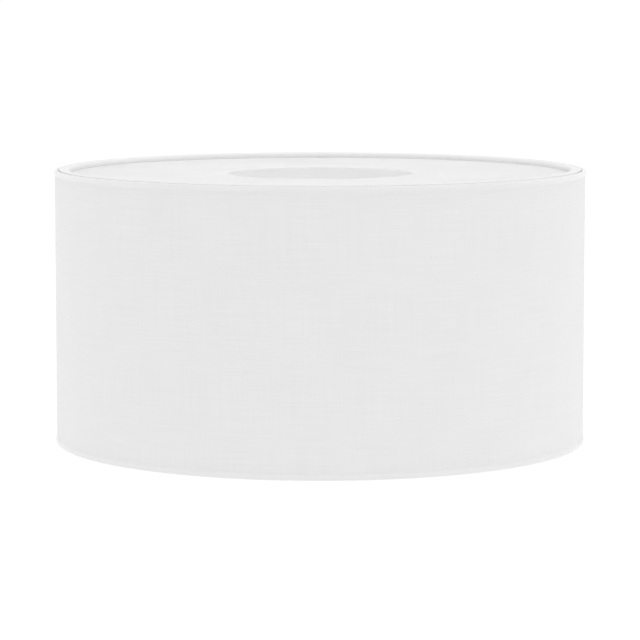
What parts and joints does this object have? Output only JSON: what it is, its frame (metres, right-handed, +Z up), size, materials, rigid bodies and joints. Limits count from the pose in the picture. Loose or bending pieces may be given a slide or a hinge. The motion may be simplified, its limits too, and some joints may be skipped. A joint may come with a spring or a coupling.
{
  "type": "lamp shade",
  "caption": "Round cloth drum shade with rolled edges, a lift-off flat top cover with a round hole, and a recessed wire spider with a fitter ring.",
  "frame": {"origin": "centre of the shade on the plane that its bottom rim stands on", "axes": "+Z up along the drum's axis, towards the cover; -Y is the front; the lap seam is at the back, on +Y"},
  "size_m": [0.502, 0.502, 0.2584],
  "materials": {
    "shade_cloth": "plain-woven white cotton and linen, matt",
    "edge_cloth": "woven white edging strip, matt",
    "liner_sheet": "smooth white backing sheet, satin",
    "cover_sheet": "white sheet with a fine matt grain",
    "adhesive_tape": "clear adhesive film",
    "coated_wire": "white powder-coated steel",
    "reducer_plastic": "moulded white plastic, satin",
    "hoop_plastic": "moulded flat-oval white hoop, hidden in the edge strip"
  },
  "bodies": {
    "shade": {"fabric_cover": "shade_cloth", "backing_liner": "liner_sheet", "seam_tape": "adhesive_tape", "top_wire_ring": "coated_wire", "bottom_wire_ring": "coated_wire", "front_spider_arm": "coated_wire", "left_spider_arm": "coated_wire", "right_spider_arm": "coated_wire", "fitter_ring": "coated_wire"},
    "top_cover": {"cover_panel": "cover_sheet", "cover_hoop": "hoop_plastic", "cover_edge_wrap": "edge_cloth"},
    "reducer": {"reducer_ring": "reducer_plastic"}
  },
  "joints": [
    {"name": "cover_lift", "type": "slide", "parent": "shade", "child": "top_cover", "axis": [0, 0, 1], "range_m": [0, 0.12]},
    {"name": "reducer_lift", "type": "slide", "parent": "shade", "child": "reducer", "axis": [0, 0, 1], "range_m": [0, 0.025]}
  ]
}
